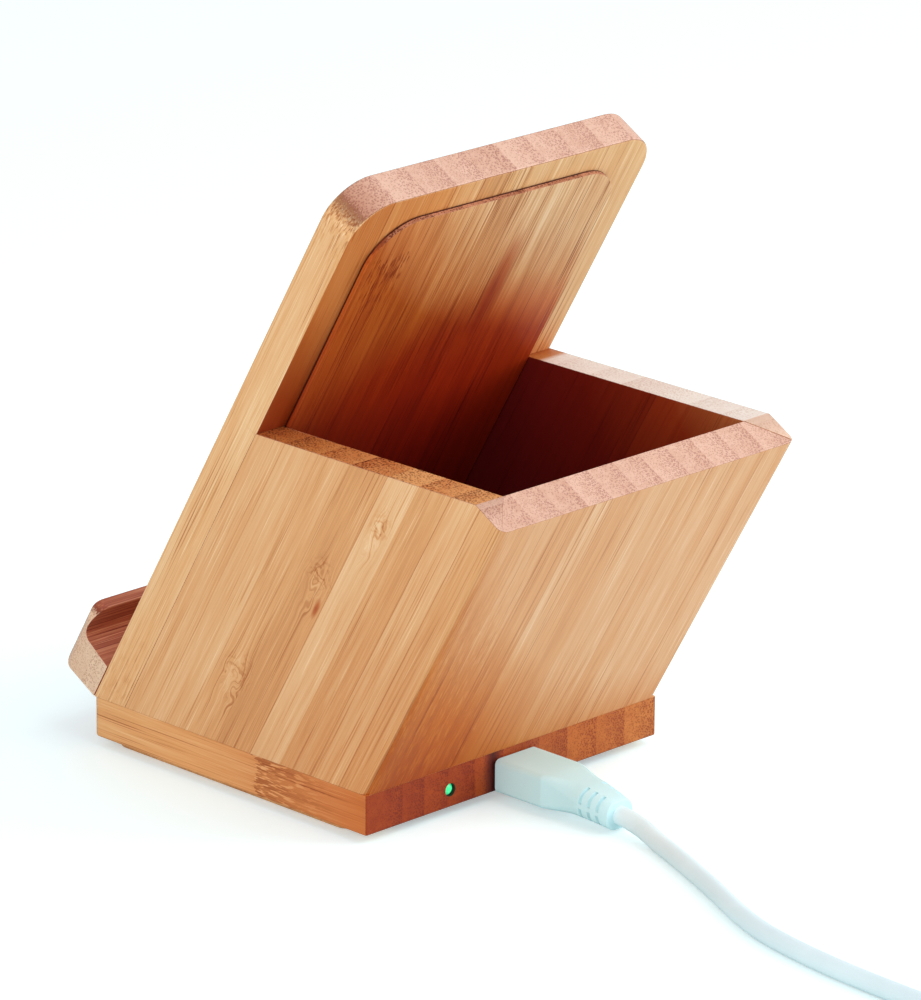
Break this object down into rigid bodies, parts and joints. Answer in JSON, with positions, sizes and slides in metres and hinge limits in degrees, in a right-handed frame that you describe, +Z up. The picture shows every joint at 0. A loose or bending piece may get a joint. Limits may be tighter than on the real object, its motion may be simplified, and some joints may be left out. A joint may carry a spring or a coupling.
{
  "type": "wireless charger pen holder",
  "caption": "Bamboo phone stand with a charging coil in its slanted rest, a ledge for the phone, a slanted pen box behind and a white charging lead plugged into the base.",
  "frame": {"origin": "on the surface that the stand rests on, below the middle of the stand's outline without its lead", "axes": "+Z up, +Y from the phone's side towards the pen box and the socket, +X towards the side with the status light"},
  "size_m": [0.1236, 0.2954, 0.129],
  "materials": {
    "bamboo": "satin, oiled",
    "bamboo_dark": "satin, oiled",
    "bamboo_sheet": "satin, with scorched edges",
    "pad": "matt, granular",
    "black_plastic": "matt",
    "steel": "plated",
    "ferrite": "matt",
    "copper": "enamelled copper",
    "wire_sleeve": "matt",
    "circuit_resin": "varnished",
    "capacitor": "matt",
    "green_lens": "clear, lit green",
    "white_plastic": "satin",
    "cable_jacket": "satin",
    "tie_strap": "woven"
  },
  "bodies": {
    "stand": {"base_block": "bamboo_dark", "bottom_cover": "black_plastic", "cover_screw_1": "steel", "cover_screw_2": "steel", "cover_screw_3": "steel", "cover_screw_4": "steel", "anti_slip_pad": "pad", "phone_rest_board": "bamboo", "coil_cover_panel": "bamboo_sheet", "phone_ledge": "bamboo", "left_wall": "bamboo", "right_wall": "bamboo", "back_wall": "bamboo", "charging_coil": "copper", "ferrite_sheet": "ferrite", "coil_lead_inner": "wire_sleeve", "coil_lead_outer": "wire_sleeve", "circuit_board": "circuit_resin", "board_screw_1": "steel", "board_screw_2": "steel", "board_screw_3": "steel", "board_screw_4": "steel", "controller_chip": "black_plastic", "driver_chip_1": "black_plastic", "driver_chip_2": "black_plastic", "resonance_capacitor_1": "capacitor", "resonance_capacitor_2": "capacitor", "resonance_capacitor_3": "capacitor", "resonance_capacitor_4": "capacitor", "choke": "ferrite", "socket_shell": "steel", "socket_tongue": "black_plastic", "status_light": "green_lens"},
    "charging_lead": {"lead_plug_housing": "white_plastic", "lead_plug_shell": "steel", "lead_cable_run": "cable_jacket", "lead_cable_coil": "cable_jacket", "lead_cable_tail": "cable_jacket", "lead_cable_tie": "tie_strap", "wide_plug_housing": "white_plastic", "wide_plug_shell": "steel", "wide_plug_tongue": "white_plastic"}
  },
  "joints": [
    {"name": "plug_pull", "type": "slide", "parent": "stand", "child": "charging_lead", "axis": [0, 1, 0], "range_m": [0, 0.012]}
  ]
}
